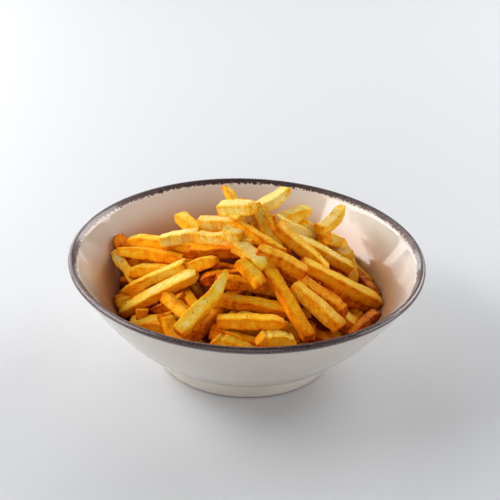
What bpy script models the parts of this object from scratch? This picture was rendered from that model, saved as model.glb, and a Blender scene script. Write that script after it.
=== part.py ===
"""A bowl of French fries: a wide conical stoneware bowl on a foot ring, and the heap of fries in it.

Metres, +Z up.  The origin is the middle of the bowl's footprint, on the surface that it stands on.
The person who eats sits at -Y.
"""
import math

import bmesh
import bpy
from mathutils import Matrix, Vector

MM = 0.001

# Bowl: driving sizes
RIM_RADIUS = 107.5 * MM
RIM_HEIGHT = 66.5 * MM          # height of the widest point of the rim
WALL = 4.3 * MM                 # wall thickness, and twice the radius of the round lip
FOOT_RADIUS = 56 * MM
FOOT_HEIGHT = 8.6 * MM
FOOT_RING_WIDTH = 6 * MM
RECESS_DEPTH = 3.5 * MM         # hollow under the base, inside the foot ring
GROOVE = 2 * MM                 # how far the wall is cut in just above the foot
FLOOR_TOP = 11.5 * MM           # eating surface at the middle
BELLY_HEIGHT = 11 * MM          # where the wall starts out from the foot
WALL_CURVE = 0.66               # exponent of the wall's flare: 1 is a cone, 0.5 a parabola
TURN_STEPS = 64

# Heap: driving sizes
PEAK = (2 * MM, 10 * MM)        # where the heap is highest
PEAK_HEIGHT = 84 * MM
EDGE_HEIGHT = 40 * MM           # mean height at which the heap meets the wall
EDGE_TILT = 8 * MM              # how much higher it meets the wall on its high side
HIGH_SIDE = math.radians(115)
EDGE_RADIUS = 88 * MM
MOUND_CURVE = 1.35              # 1 is a cone, 2 a dome
CORE_DROP = 5 * MM              # the solid core ends this far under the uppermost fries
GAP = 0.5 * MM                  # between the fries and the bowl
FRY_WIDTH = 7.5 * MM
FRY_THICKNESS = 7.2 * MM

# Fries that show, group by group: where their two ends lie (mm), width and thickness where not usual (mm),
# and the share of the width that is left at the second end of a pointed one
CROWN = [
    ((-2, 12, 80), (-15, 30, 97), 6.5, 6.5, 0.8),
    ((-6, 28, 91), (14, 7, 86)),
    ((-18, 8, 92), (8, 1, 96), 8.5, 8),
    ((1, 8, 96), (19, -6, 76), 8, 7.5),
    ((-7, -1, 91), (22, 30, 93), 8.5, 7.5),
    ((6, 6, 83), (38, 30, 83), 8, 7.5),
    ((31, 24, 78), (58, 38, 56)),
    ((43, 8, 64), (58, 48, 77)),
    ((40, 20, 78), (53, 33, 75), 8, 8),
    ((59, 50, 52), (72, 19, 35), 9, 7.5),
    ((-9, 0, 89), (19, -20, 79), 6.5, 7, 0.5),
]
LEFT_FAN = [
    ((-45, 40, 72), (-20, 9, 65), 8, 7.5),
    ((-30, 17, 78), (0, 4, 86)),
    ((-30, 6, 74), (4, -12, 84)),
    ((-13, -5, 82), (-2, -9, 84), 8, 7.5),
    ((-74, 32, 57), (-25, 0, 70)),
    ((-52, 14, 66), (-19, 4, 77), 8, 7.5),
    ((-83, 40, 52), (-72, 26, 31)),
    ((-31, -5, 63), (-80, 26, 51), 7, 7, 0.5),
    ((-88, 31, 44), (-63, 3, 43), 6.5, 6.5),
    ((-70, 11, 47), (-35, -10, 59), 8, 7),
    ((-78, 3, 34), (-34, -17, 65)),
    ((-55, -9, 48), (-16, -21, 73), 7, 7),
    ((-74, -17, 33), (-29, -25, 67)),
    ((-77, -14, 22), (-35, -33, 54)),
    ((-37, 2, 66), (10, -18, 80)),
]
FRONT = [
    ((-45, -27, 53), (-25, -61, 48), 7, 7),
    ((-41, -15, 53), (-23, -51, 50), 7, 7),
    ((-47, -40, 47), (-31, -68, 38), 8, 7),
    ((-36, -62, 51), (-10, -36, 73), 9.5, 7, 0.3),
    ((-36, -64, 41), (-4, -34, 65), 8, 7.5),
    ((-24, -28, 64), (8, -29, 70)),
    ((-18, -29, 64), (21, -35, 64), 8, 7.5),
    ((-21, -43, 58), (25, -45, 58)),
    ((-5, -51, 56), (24, -57, 50), 6, 5.5),
    ((-16, -60, 53), (22, -58, 56), 8, 7.5),
    ((-16, -65, 49), (12, -76, 42), 8, 7),
    ((-19, -59, 50), (20, -71, 43), 8, 7.5),
    ((8, -70, 50), (29, -66, 49), 8, 7),
    ((-8, -56, 48), (41, -52, 47)),
    ((-23, -18, 68), (19, -28, 67)),
    ((-4, -25, 75), (9, -39, 68), 7.5, 7),
    ((-7, -12, 79), (12, -29, 76), 9, 7.5),
]
RIGHT_SWEEP = [
    ((6, -17, 79), (36, -62, 47)),
    ((13, 0, 84), (49, -4, 62), 8.5, 7.5),
    ((4, -22, 79), (34, -26, 69), 8, 7.5),
    ((18, -22, 75), (58, -37, 50)),
    ((27, -34, 66), (55, -51, 49), 9, 7.5),
    ((37, -28, 61), (64, -37, 42), 7, 7),
    ((59, -48, 43), (81, -19, 37), 6, 6),
    ((33, -14, 70), (83, -7, 37), 8.5, 7.5),
    ((15, 8, 86), (62, 49, 44), 7, 7),
    ((15, 4, 84), (64, 19, 49)),
    ((60, 35, 45), (84, 2, 35), 7, 7),
    ((14, -41, 57), (59, -51, 35)),
    ((45, -17, 56), (85, -3, 26)),
]

# The far side: tiers of fries that lean from the top of the heap down to the wall
BACK_TIERS = 2
BACK_PER_TIER = 9
BACK_BEARINGS = (math.radians(38), math.radians(152))
BACK_LENGTH = 52 * MM
BACK_SKEW = math.radians(34)    # how far each one turns away from pointing straight down the slope


def make_material(name, colour, roughness, metallic=0.0):
    material = bpy.data.materials.new(name)
    material.use_nodes = True
    shader = material.node_tree.nodes["Principled BSDF"]
    shader.inputs["Base Color"].default_value = (*colour, 1)
    shader.inputs["Roughness"].default_value = roughness
    shader.inputs["Metallic"].default_value = metallic
    return material


def make_collection(name):
    collection = bpy.data.collections.new(name)
    bpy.context.scene.collection.children.link(collection)
    return collection


def add_object(name, mesh, collection):
    thing = bpy.data.objects.new(name, mesh)
    collection.objects.link(thing)
    return thing


def hide_guide(thing):
    thing.hide_render = True
    thing.display_type = "WIRE"


def turned(name, profile, collection):
    """Turn a profile of (radius, height) points, whose two ends are on the axis, into a solid."""
    mesh = bpy.data.meshes.new(name)
    points = [(radius, 0, height) for radius, height in profile]
    mesh.from_pydata(points, [(i, i + 1) for i in range(len(points) - 1)], [])
    thing = add_object(name, mesh, collection)
    screw = thing.modifiers.new("Turn", "SCREW")
    screw.steps = screw.render_steps = TURN_STEPS
    screw.use_merge_vertices = True
    screw.merge_threshold = 0.00002
    return thing


def wall_radius(height):
    """Radius of the bowl's outside at a height above the belly."""
    rise = max(0.0, (height - BELLY_HEIGHT) / (RIM_HEIGHT - BELLY_HEIGHT))
    return FOOT_RADIUS + (RIM_RADIUS - FOOT_RADIUS) * rise ** WALL_CURVE


def inner_wall(offset=0.0):
    """Points of the inside from the middle of the floor up to the lip, moved inwards by offset."""
    floor_points = [(0, FLOOR_TOP), (24 * MM, FLOOR_TOP + 0.2 * MM), (44 * MM, FLOOR_TOP + 2.2 * MM)]
    points = [(radius, height + offset) for radius, height in floor_points]
    heights = [16, 21, 27, 34, 42, 50, 58]
    for height in [value * MM for value in heights]:
        slope = (wall_radius(height + MM) - wall_radius(height - MM)) / (2 * MM)
        length = math.hypot(1, slope)
        inset = WALL + offset
        points.append((wall_radius(height) - inset / length, height + inset * slope / length))
    return points


def lip(steps=6):
    """The round lip, from the inside over the top to the widest point."""
    centre = (RIM_RADIUS - WALL / 2, RIM_HEIGHT)
    angles = [math.pi * (1 - step / steps) for step in range(steps + 1)]
    return [(centre[0] + WALL / 2 * math.cos(a), centre[1] + WALL / 2 * math.sin(a)) for a in angles]


def outer_wall():
    heights = [61, 54, 46, 38, 30, 23, 17, 13.5, 11.8]
    return [(wall_radius(height * MM), height * MM) for height in heights]


def foot():
    """Groove, foot ring and the hollow under the base, ending on the axis."""
    inner = FOOT_RADIUS - FOOT_RING_WIDTH
    return [
        (FOOT_RADIUS - GROOVE, BELLY_HEIGHT - 0.6 * MM),
        (FOOT_RADIUS - GROOVE, FOOT_HEIGHT),
        (FOOT_RADIUS, FOOT_HEIGHT - 1.4 * MM),
        (FOOT_RADIUS, 1 * MM),
        (FOOT_RADIUS - 1 * MM, 0),
        (inner, 0),
        (inner - 1 * MM, RECESS_DEPTH),
        (0, RECESS_DEPTH),
    ]


def make_bowl(collection):
    bowl = turned("bowl", inner_wall() + lip() + outer_wall() + foot(), collection)
    bowl.data.materials.append(make_material("stoneware_glaze", (0.62, 0.55, 0.47), 0.25))
    return bowl


def mound_height(x, y):
    """Height of the heap's surface above a point of the bowl's footprint."""
    across, along = x - PEAK[0], y - PEAK[1]
    edge = EDGE_HEIGHT + EDGE_TILT * math.cos(math.atan2(along, across) - HIGH_SIDE)
    share = min(1.25, math.hypot(across, along) / EDGE_RADIUS)
    return edge + (PEAK_HEIGHT - edge) * (1 - share ** MOUND_CURVE)


def add_fry(mesh, start, end, width, thickness, point=1.0):
    """Add one cut fry to the mesh: a square-cut stick from start to end, its wide side facing up."""
    run = end - start
    ahead = run.normalized()
    side = Vector((0, 0, 1)).cross(ahead).normalized()
    turn = Matrix((ahead, side, ahead.cross(side))).transposed().to_4x4()
    place = Matrix.Translation((start + end) / 2) @ turn
    size = Matrix.Diagonal((run.length, width, thickness, 1))
    stick = bmesh.ops.create_cube(mesh, size=1, matrix=place @ size)
    middle = (start + end) / 2
    for vertex in stick["verts"]:
        if (vertex.co - middle).dot(ahead) > 0:
            offset = (vertex.co - end).dot(side)
            vertex.co -= side * offset * (1 - point)


def back_fries():
    """Ends of the fries of the far side, tier by tier."""
    low, high = BACK_BEARINGS
    for tier in range(BACK_TIERS):
        for k in range(BACK_PER_TIER):
            bearing = low + (high - low) * (k + 0.5 * tier) / (BACK_PER_TIER - 0.5)
            reach = (34 + 24 * tier) * MM
            middle = Vector((PEAK[0] + reach * math.cos(bearing), PEAK[1] + reach * math.sin(bearing), 0))
            heading = bearing + BACK_SKEW * (1 if (k + tier) % 2 else -1)
            half = Vector((math.cos(heading), math.sin(heading), 0)) * BACK_LENGTH / 2
            ends = [middle - half, middle + half]
            for end in ends:
                end.z = mound_height(end.x, end.y) - 2 * MM
            yield ends


def make_laid_fries(collection):
    """All fries that show, as one guide mesh of crossing sticks."""
    mesh = bmesh.new()
    for start, end, *shape in CROWN + LEFT_FAN + FRONT + RIGHT_SWEEP:
        width, thickness = (value * MM for value in (shape[:2] or (FRY_WIDTH / MM, FRY_THICKNESS / MM)))
        point = shape[2] if len(shape) > 2 else 1.0
        add_fry(mesh, Vector(start) * MM, Vector(end) * MM, width, thickness, point)
    for start, end in back_fries():
        add_fry(mesh, start, end, FRY_WIDTH, FRY_THICKNESS)
    data = bpy.data.meshes.new("laid_fries")
    mesh.to_mesh(data)
    mesh.free()
    guide = add_object("laid_fries", data, collection)
    hide_guide(guide)
    return guide


def make_bowl_space(collection):
    """The room inside the bowl less the gap, going on upwards as a wide shaft."""
    shaft = RIM_RADIUS - WALL - GAP
    top = 0.14
    profile = [(0, top), (shaft, top), (shaft, RIM_HEIGHT)] + inner_wall(GAP)[::-1]
    space = turned("bowl_space", profile, collection)
    hide_guide(space)
    return space


def make_core():
    """A solid mound under the fries: a round slab whose top follows the heap's surface."""
    mesh = bmesh.new()
    bmesh.ops.create_grid(mesh, x_segments=16, y_segments=16, size=EDGE_RADIUS * 1.25)
    base = mesh.faces[:]
    raised = bmesh.ops.extrude_face_region(mesh, geom=base)
    top = [item for item in raised["geom"] if isinstance(item, bmesh.types.BMVert)]
    for vertex in top:
        vertex.co.z = mound_height(vertex.co.x, vertex.co.y) - CORE_DROP
    bmesh.ops.recalc_face_normals(mesh, faces=mesh.faces)
    data = bpy.data.meshes.new("fries_heap")
    mesh.to_mesh(data)
    mesh.free()
    return data


def add_boolean(thing, operation, other):
    """A Boolean that also sorts out where the crossing fries cut each other."""
    cut = thing.modifiers.new(operation.title(), "BOOLEAN")
    cut.solver = "EXACT"
    cut.operation = operation
    cut.object = other
    cut.use_self = True


def islands(mesh):
    """Groups of faces that hang together."""
    left = set(mesh.faces)
    while left:
        group = {left.pop()}
        edge_of_group = list(group)
        while edge_of_group:
            face = edge_of_group.pop()
            near = {other for edge in face.edges for other in edge.link_faces} & left
            left -= near
            group |= near
            edge_of_group.extend(near)
        yield group


def keep_outer_skin(data):
    """Drop the walls of hollows shut in between the fries, so that the heap is one closed body."""
    mesh = bmesh.new()
    mesh.from_mesh(data)
    bmesh.ops.remove_doubles(mesh, verts=mesh.verts, dist=0.00001)
    bmesh.ops.triangulate(mesh, faces=mesh.faces)
    skins = sorted(islands(mesh), key=lambda group: sum(face.calc_area() for face in group))
    for group in skins[:-1]:
        bmesh.ops.delete(mesh, geom=list(group), context="FACES")
    mesh.to_mesh(data)
    mesh.free()


def make_heap(collection, guides):
    draft = add_object("heap_draft", make_core(), guides)
    add_boolean(draft, "UNION", make_laid_fries(guides))
    add_boolean(draft, "INTERSECT", make_bowl_space(guides))
    evaluated = draft.evaluated_get(bpy.context.evaluated_depsgraph_get())
    data = bpy.data.meshes.new_from_object(evaluated)
    bpy.data.objects.remove(draft)
    keep_outer_skin(data)
    data.name = "fries_heap"
    data.materials.clear()
    data.materials.append(make_material("fried_potato", (0.85, 0.5, 0.12), 0.5))
    return add_object("fries_heap", data, collection)


def main():
    for thing in list(bpy.data.objects):
        bpy.data.objects.remove(thing)
    model = make_collection("bowl_of_french_fries")
    guides = make_collection("guides")
    make_bowl(model)
    make_heap(model, guides)


main()
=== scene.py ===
# %% [markdown]
# # A bowl of French fries
#
# This lesson dresses a simple, exact model of a bowl of French fries: a wide stoneware bowl with a brown
# rim, and a heap of thin-cut fries with a dusting of seasoning. The exact model, called the frame, is
# loaded first and is never moved. It has two solids: the bowl, and the heap as one lump. We replace both
# with finer pieces that fit inside them, give every surface a finish made of nodes, and light the whole
# on a pale table.

# %% Load the frame
import math

import bmesh
import bpy
import numpy as np
from mathutils import Matrix, Vector


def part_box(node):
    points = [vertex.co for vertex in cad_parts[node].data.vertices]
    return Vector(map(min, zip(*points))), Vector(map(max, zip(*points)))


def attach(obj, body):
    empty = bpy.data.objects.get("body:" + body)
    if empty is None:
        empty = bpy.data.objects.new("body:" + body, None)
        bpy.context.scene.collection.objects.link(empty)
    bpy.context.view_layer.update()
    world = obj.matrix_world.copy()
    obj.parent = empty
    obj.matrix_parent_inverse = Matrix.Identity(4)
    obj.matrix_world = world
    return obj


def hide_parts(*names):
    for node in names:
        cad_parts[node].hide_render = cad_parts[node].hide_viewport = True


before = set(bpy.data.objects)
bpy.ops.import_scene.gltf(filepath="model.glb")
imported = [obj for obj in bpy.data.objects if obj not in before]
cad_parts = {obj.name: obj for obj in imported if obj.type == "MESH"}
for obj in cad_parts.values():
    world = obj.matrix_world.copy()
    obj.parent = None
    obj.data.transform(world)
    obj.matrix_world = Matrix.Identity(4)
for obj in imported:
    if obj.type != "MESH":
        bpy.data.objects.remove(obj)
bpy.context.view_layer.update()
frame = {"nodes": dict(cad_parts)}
MM = 0.001  # Blender's lengths here are metres, and MM lets us write millimetres
print("frame nodes:", ", ".join(frame["nodes"]))

# %% [markdown]
# ## Where the camera stands
#
# The camera is a short telephoto, 0.78 m from the middle of the rim and 28.5 degrees above the table.
# That is how a diner at a table sees a bowl, and the long lens keeps its ellipse calm. It looks at the
# middle of the rim, with a fraction of a degree of pan and tilt and a 2 degree roll, because the shot is
# hand-levelled.

# %% The camera
RIM_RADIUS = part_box("bowl")[1][0]
RIM_HEIGHT = 66.5 * MM
VIEW_ELEVATION = math.radians(28.5)
VIEW_DISTANCE = 7.235 * RIM_RADIUS
SENSOR_WIDTH, FIELD_OF_VIEW = 36, math.radians(22)
PAN, TILT, ROLL = math.radians(-0.11), math.radians(0.25), math.radians(2.03)


def add_camera():
    data = bpy.data.cameras.new("camera")
    data.sensor_width = SENSOR_WIDTH
    data.angle = FIELD_OF_VIEW
    camera = bpy.data.objects.new("camera", data)
    bpy.context.scene.collection.objects.link(camera)
    away = Vector((0, -math.cos(VIEW_ELEVATION), math.sin(VIEW_ELEVATION)))
    camera.location = Vector((0, 0, RIM_HEIGHT)) + away * VIEW_DISTANCE
    aim = Matrix.Rotation(math.pi / 2 - VIEW_ELEVATION, 3, "X")
    trim = Matrix.Rotation(PAN, 3, "Y") @ Matrix.Rotation(TILT, 3, "X") @ Matrix.Rotation(ROLL, 3, "Z")
    camera.rotation_euler = (aim @ trim).to_euler()
    bpy.context.scene.camera = camera
    return camera


camera = add_camera()
print("camera at", [round(value, 3) for value in camera.location])

# %% [markdown]
# ## Writing shader maths as Python
#
# Node trees are quick to draw but long to script. Here one small class wraps a node's output, and `+`,
# `-` and `*` on it add the Math nodes. Everything else goes through one method, `node`, which is given
# the node's type, its settings and what its inputs hold. A finish then reads like a recipe.


# %% Sockets that can be added and multiplied
class Wire:
    """The output of a node in a finish, ready for sums."""

    def __init__(self, finish, socket):
        self.finish = finish
        self.socket = socket

    def sum(self, operation, first, second):
        return self.finish.node("Math", {"operation": operation}, {0: first, 1: second})

    def __add__(self, other):
        return self.sum("ADD", self, other)

    def __sub__(self, other):
        return self.sum("SUBTRACT", self, other)

    def __rsub__(self, other):
        return self.sum("SUBTRACT", other, self)

    def __mul__(self, other):
        return self.sum("MULTIPLY", self, other)

    __radd__ = __add__
    __rmul__ = __mul__


# %% A finish and its nodes
class Finish:
    """A material whose nodes are added by expressions."""

    def __init__(self, name):
        self.material = bpy.data.materials.new(name)
        self.material.use_nodes = True
        self.tree = self.material.node_tree
        self.shader = self.tree.nodes["Principled BSDF"]

    def node(self, kind, settings=None, inputs=None, output=0):
        """Add a node: its type, then its settings, then the values or wires of its inputs."""
        added = self.tree.nodes.new("ShaderNode" + kind)
        for name, value in (settings or {}).items():
            if name == "stops":
                self.set_stops(added.color_ramp, value)
            else:
                setattr(added, name, value)
        for name, value in (inputs or {}).items():
            self.feed(added.inputs[name], value)
        return Wire(self, added.outputs[output])

    def feed(self, socket, value):
        if isinstance(value, Wire):
            self.tree.links.new(value.socket, socket)
        elif isinstance(value, tuple) and len(value) == 3 and socket.type == "RGBA":
            socket.default_value = (*value, 1)
        else:
            socket.default_value = value

    def set_stops(self, ramp, stops):
        while len(ramp.elements) < len(stops):
            ramp.elements.new(0.5)
        for element, (position, colour) in zip(ramp.elements, stops):
            element.position = position
            element.color = (*colour, 1)

    def position(self):
        return self.node("TexCoord", output="Object")

    def attribute(self, name):
        return self.node("Attribute", {"attribute_name": name}, output="Fac")

    def noise(self, where, size, detail=2.0, roughness=0.5):
        """Soft noise from 0 to 1, whose lumps are about `size` metres across."""
        inputs = {"Vector": where, "Scale": 1 / size, "Detail": detail, "Roughness": roughness}
        return self.node("TexNoise", None, inputs)

    def step(self, value, low, high):
        """0 below low, 1 above high, and a soft rise between them."""
        inputs = {0: value, 1: low, 2: high, 3: 0.0, 4: 1.0}
        return self.node("MapRange", {"interpolation_type": "SMOOTHSTEP"}, inputs)

    def mix(self, share, first, second):
        """The first colour where share is 0, the second where it is 1."""
        return self.node("Mix", {"data_type": "RGBA"}, {0: share, 6: first, 7: second}, output=2)

    def bump(self, height, distance, strength=1.0):
        return self.node("Bump", None, {"Height": height, "Distance": distance, "Strength": strength})

    def set(self, **inputs):
        """Set or link the shader's own inputs, named with _ for spaces."""
        for name, value in inputs.items():
            self.feed(self.shader.inputs[name.replace("_", " ")], value)


def srgb(red, green, blue):
    """A colour picked on a screen, 0 to 255, as the linear values that shaders use."""
    shares = (red / 255, green / 255, blue / 255)
    return tuple(s / 12.92 if s <= 0.04045 else ((s + 0.055) / 1.055) ** 2.4 for s in shares)


# %% [markdown]
# ## Helpers for modelling with operators
#
# Operators act on whatever is selected, so each piece starts from a clean selection. A finished piece
# keeps its place in its mesh: its object sits at the origin, unturned.


# %% Selecting and finishing
def only(*things):
    """Select these objects and nothing else, and make the first one active."""
    bpy.ops.object.select_all(action="DESELECT")
    for thing in things:
        thing.select_set(True)
    bpy.context.view_layer.objects.active = things[0]


def apply_modifiers(thing):
    only(thing)
    for modifier in list(thing.modifiers):
        bpy.ops.object.modifier_apply(modifier=modifier.name)


def select_edges(thing, wanted):
    """In edit mode: select the edges for which wanted(edge) is true, and nothing else."""
    bpy.ops.mesh.select_mode(type="EDGE")
    bpy.ops.mesh.select_all(action="DESELECT")
    mesh = bmesh.from_edit_mesh(thing.data)
    for edge in mesh.edges:
        edge.select_set(wanted(edge))
    bmesh.update_edit_mesh(thing.data)


def points_of(mesh):
    """The mesh's vertices as rows of x, y, z."""
    flat = np.empty(len(mesh.vertices) * 3)
    mesh.vertices.foreach_get("co", flat)
    return flat.reshape(-1, 3)


def normals_of(mesh):
    """The mesh's vertex normals, in the same order."""
    flat = np.empty(len(mesh.vertices) * 3)
    mesh.vertices.foreach_get("normal", flat)
    return flat.reshape(-1, 3)


def move_points(mesh, points):
    mesh.vertices.foreach_set("co", points.ravel())
    mesh.update()


def write_values(mesh, name, values):
    """Keep one number per vertex in the mesh, for a finish to read."""
    layer = mesh.attributes.get(name) or mesh.attributes.new(name, "FLOAT", "POINT")
    layer.data.foreach_set("value", np.asarray(values, dtype=np.float32))


# %% [markdown]
# ## The bowl
#
# The real bowl is thrown on a wheel, so its shape is one profile turned round an axis. We draw the
# profile with the wall's own formula, by extruding a single point along it, and spin it in 160 steps.
# Faint ripples in the outside are the marks of the potter's fingers. Each point remembers how far along
# the profile it lies from the top of the lip, because the brown iron band on the rim follows that
# distance.

# %% The bowl's profile
WALL = 4.3 * MM
FOOT_RADIUS = 56 * MM
FLOOR_TOP = 11.5 * MM
BELLY_HEIGHT = 11 * MM
WALL_CURVE = 0.66
RIPPLE, RIPPLE_WAVES = 0.10 * MM, (2.1 * MM, 3.4 * MM)
LIP_RADIUS, LIP_THINNING, LIP_SHIFT = 1.8 * MM, 0.5 * MM, 0.3
LIP_FROM, LIP_TO = math.radians(138), math.radians(-32)
# where the curved wall begins and ends, inside and outside
INSIDE_LOW, INSIDE_HIGH, INSIDE_LIP = 16.5 * MM, 62.2 * MM, 64.2 * MM
OUTSIDE_HIGH, OUTSIDE_LOW = 64.3 * MM, 12 * MM
# radius and height in millimetres: the floor from its middle out, and the foot ring from the wall in
FLOOR = [(0, 0), (12, 0), (24, 0.2), (34, 0.9), (42, 1.8), (48, 3)]
FOOT = [(55.7, 10.9), (55.5, 10), (55.5, 9.2), (55.6, 8.4), (55.8, 7.2), (55.7, 5), (55.2, 2), (54.8, 1),
        (54.2, 0.3), (53.4, 0), (50, 0), (49.4, 0.5), (49, 3.2), (47, 3.5), (0, 3.5)]


def wall_radius(height):
    """Radius of the bowl's outside at a height."""
    rise = max(0.0, (height - BELLY_HEIGHT) / (RIM_HEIGHT - BELLY_HEIGHT))
    return FOOT_RADIUS + (RIM_RADIUS - FOOT_RADIUS) * rise**WALL_CURVE


def inner_point(height):
    """The point of the inside that lies straight through the wall from the outside at a height."""
    slope = (wall_radius(height + MM) - wall_radius(height - MM)) / (2 * MM)
    length = math.hypot(1, slope)
    return wall_radius(height) - WALL / length, height + WALL * slope / length


def bowl_profile():
    """Radius and height of the bowl's skin, from the middle of its floor over the lip to under its foot."""
    inside = [(radius * MM, FLOOR_TOP + rise * MM) for radius, rise in FLOOR]
    inside += [inner_point(height) for height in np.linspace(INSIDE_LOW, INSIDE_HIGH, 26)]
    for share in np.linspace(0.25, 1, 4):
        radius, height = inner_point(INSIDE_HIGH + share * (INSIDE_LIP - INSIDE_HIGH))
        thinner = LIP_THINNING * share**2
        inside.append((radius + thinner, height - LIP_SHIFT * thinner))
    lip = [(RIM_RADIUS + LIP_RADIUS * (math.cos(turn) - 1), RIM_HEIGHT + LIP_RADIUS * math.sin(turn))
           for turn in np.linspace(LIP_FROM, LIP_TO, 11)]
    outside = []
    for height in np.linspace(OUTSIDE_HIGH, OUTSIDE_LOW, 44):
        ripple = RIPPLE * sum(math.sin(height / wave) for wave in RIPPLE_WAVES) / 2
        outside.append((wall_radius(height) + ripple - RIPPLE, height))
    return inside + lip + outside + [(radius * MM, height * MM) for radius, height in FOOT]


profile = bowl_profile()
print(len(profile), "points in the bowl's profile")

# %% Spin the bowl
SPIN_STEPS = 160
MERGE_DISTANCE = 0.02 * MM


def spin_profile(name, points):
    """Extrude one point along the profile, then spin the line about the upright axis."""
    bpy.ops.mesh.primitive_plane_add(size=MM, location=(points[0][0], 0, points[0][1]))
    thing = bpy.context.object
    thing.name = name
    bpy.ops.object.transform_apply(location=True)
    bpy.ops.object.mode_set(mode="EDIT")
    bpy.ops.mesh.merge(type="CENTER")
    for (radius, height), (next_radius, next_height) in zip(points, points[1:]):
        step = (next_radius - radius, 0, next_height - height)
        bpy.ops.mesh.extrude_region_move(TRANSFORM_OT_translate={"value": step})
    bpy.ops.mesh.select_all(action="SELECT")
    bpy.ops.mesh.spin(steps=SPIN_STEPS, angle=2 * math.pi, center=(0, 0, 0), axis=(0, 0, 1))
    bpy.ops.mesh.select_all(action="SELECT")
    bpy.ops.mesh.remove_doubles(threshold=MERGE_DISTANCE)
    bpy.ops.mesh.normals_make_consistent(inside=False)
    bpy.ops.object.mode_set(mode="OBJECT")
    bpy.ops.object.shade_smooth()
    thing.data.name = name
    return thing


def mark_lip_distance(thing, points):
    """Write how many millimetres of skin lie between each vertex and the top of the lip, below 0 inside."""
    line = np.array(points)
    run = np.concatenate([[0], np.cumsum(np.hypot(*np.diff(line, axis=0).T))])
    run -= run[line[:, 1].argmax()]
    where = points_of(thing.data)
    flat = np.stack([np.hypot(where[:, 0], where[:, 1]), where[:, 2]], axis=1)
    nearest = [np.argmin(((line - point) ** 2).sum(axis=1)) for point in flat]
    write_values(thing.data, "lip_run", run[nearest] / MM)


bpy.ops.object.select_all(action="DESELECT")
bowl = spin_profile("stoneware_bowl", profile)
mark_lip_distance(bowl, profile)
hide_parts("bowl")
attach(bowl, "root")
print("bowl has", len(bowl.data.polygons), "faces")

# %% [markdown]
# ## The glaze
#
# The body is a cream stoneware glaze, slightly uneven, with a few iron specks. The rim was dipped in a
# dark iron slip before firing: a solid band over the lip, whose inner edge has run into short ragged
# streaks. The streaks come from noise that is stretched down the wall, so each one is a narrow tooth.
# Under the foot ring the clay is bare. Iron gives the band a dull metallic sheen under clear glaze, with
# paler flecks. Low on the inside the glaze is painted warmer and darker, as painted warm bounce light and
# shade from the fries.


# %% The bowl's finish
CREAM, WARM_CREAM = srgb(216, 210, 201), srgb(210, 199, 186)
# the inside's cream, and the painted warm bounce light and shade from the fries that tints it low down
INNER_CREAM, PAINTED_BOUNCE_CREAM = srgb(222, 214, 203), srgb(196, 150, 104)
# the painted bounce light and shade is full below the first height and gone above the second
BOUNCE_FULL_BELOW, BOUNCE_GONE_ABOVE = 42 * MM, 63 * MM
IRON, RUSTY_IRON, PALE_IRON = srgb(76, 58, 58), srgb(104, 76, 62), srgb(138, 116, 116)
BARE_CLAY, IRON_SPECK = srgb(176, 150, 124), srgb(120, 96, 78)
BARE_UP_TO, GLAZED_ABOVE = 0.9 * MM, 1.3 * MM
# in millimetres of skin from the top of the lip
BAND_INSIDE, TOOTH_LENGTH, BAND_OUTSIDE = 3.8, 2.8, 5.6


def iron_band(glaze, where, run):
    """How far the iron band covers the glaze, and how thick it is from its ragged edge in, from 0 to 1."""
    down_the_wall = glaze.node("Mapping", None, {"Vector": where, "Scale": (1, 1, 0.3)})
    teeth = glaze.noise(down_the_wall, 1.35 * MM, detail=2, roughness=0.6)
    wander = glaze.noise(where, 9 * MM)
    inner_edge = teeth * TOOTH_LENGTH * 2.2 + wander * 1.2 - 2.2 + BAND_INSIDE - TOOTH_LENGTH * 0.4
    outer_edge = glaze.noise(where, 5 * MM) * 1.0 + BAND_OUTSIDE - 0.5
    inside = glaze.step(inner_edge + run, -0.25, 0.25)
    outside = glaze.step(outer_edge - run, -0.3, 0.3)
    return inside * outside, glaze.step(inner_edge + run, 0.0, 1.6)


def clay_colour(glaze, where, height, run):
    """Cream outside, painted warmer and darker low on the inside as bounce light and shade from the fries,
    with iron specks.
    """
    mottle = glaze.noise(where, 14 * MM, detail=3)
    clay = glaze.mix(mottle, CREAM, WARM_CREAM)
    # painted warm bounce light and shade from the fries: full low on the inside, fading out towards the rim
    painted_bounce = 0.9 - 0.9 * glaze.step(height, BOUNCE_FULL_BELOW, BOUNCE_GONE_ABOVE)
    clay = glaze.mix(glaze.step(run, -2, 0), glaze.mix(painted_bounce, INNER_CREAM, PAINTED_BOUNCE_CREAM), clay)
    speck = glaze.step(glaze.noise(where, 1.9 * MM, detail=1), 0.76, 0.82)
    return glaze.mix(speck * 0.35, clay, IRON_SPECK)


def stoneware_finish():
    """Cream glaze with the iron band on the rim, and bare clay under the foot."""
    glaze = Finish("stoneware_glaze")
    where = glaze.position()
    run = glaze.attribute("lip_run")
    height = glaze.node("SeparateXYZ", None, {"Vector": where}, output="Z")
    band, thick = iron_band(glaze, where, run)
    flecks = glaze.step(glaze.noise(where, 1.0 * MM, detail=3, roughness=0.7), 0.48, 0.66)
    iron = glaze.mix(flecks * 0.4, glaze.mix(thick, RUSTY_IRON, IRON), PALE_IRON)
    bare = 1 - glaze.step(height, BARE_UP_TO, GLAZED_ABOVE)
    colour = glaze.mix(bare, glaze.mix(band, clay_colour(glaze, where, height, run), iron), BARE_CLAY)
    waves = glaze.noise(where, 18 * MM, detail=2) + glaze.noise(where, 1.2 * MM, detail=1) * 0.06
    waves = waves + band * flecks * 0.4
    rough = glaze.noise(where, 8 * MM) * 0.06 + 0.05 + bare * 0.5 + band * 0.20
    glaze.set(Base_Color=colour, Roughness=rough, IOR=1.5, Metallic=band * 0.5,
              Coat_Weight=band * 0.65, Coat_Roughness=0.1,
              Normal=glaze.bump(waves, 0.25 * MM, 0.6))
    return glaze.material


bowl.data.materials.append(stoneware_finish())
print("the glaze has", len(bowl.active_material.node_tree.nodes), "nodes")

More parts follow.
